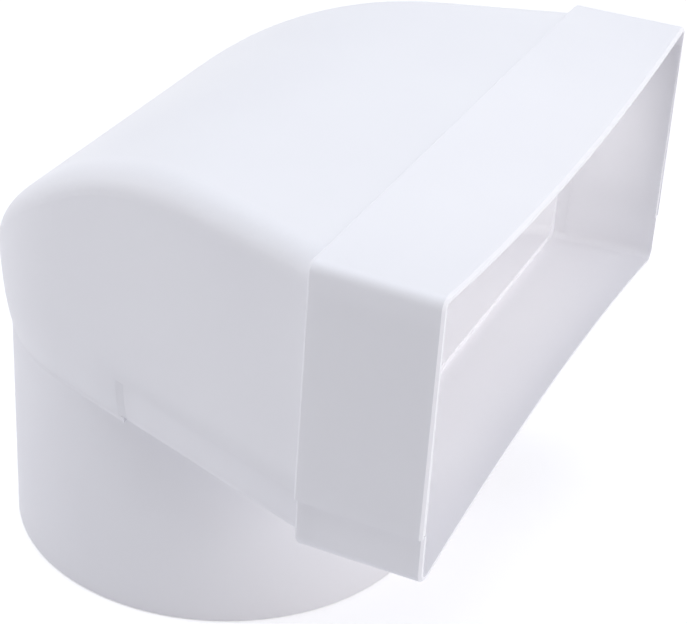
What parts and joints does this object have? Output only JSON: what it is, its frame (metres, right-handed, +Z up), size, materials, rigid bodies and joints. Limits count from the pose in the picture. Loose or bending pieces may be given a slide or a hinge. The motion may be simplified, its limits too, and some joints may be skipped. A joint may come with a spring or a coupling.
{
  "type": "duct elbow",
  "caption": "White plastic duct elbow: a wide flat-duct socket turned through a curved hood into a round pipe spigot, moulded as bonded upper and lower shells.",
  "frame": {"origin": "on the round spigot's axis, in the plane of its rim, on which the elbow stands", "axes": "+Z up along the spigot's axis to the hood, -Y out of the flat socket's mouth, X across the mouth"},
  "size_m": [0.2304, 0.1958, 0.1714],
  "materials": {
    "upper_white": "satin white moulded plastic",
    "lower_white": "satin white moulded plastic"
  },
  "bodies": {
    "root": {"upper_shell": "upper_white", "lower_shell": "lower_white"}
  },
  "joints": []
}
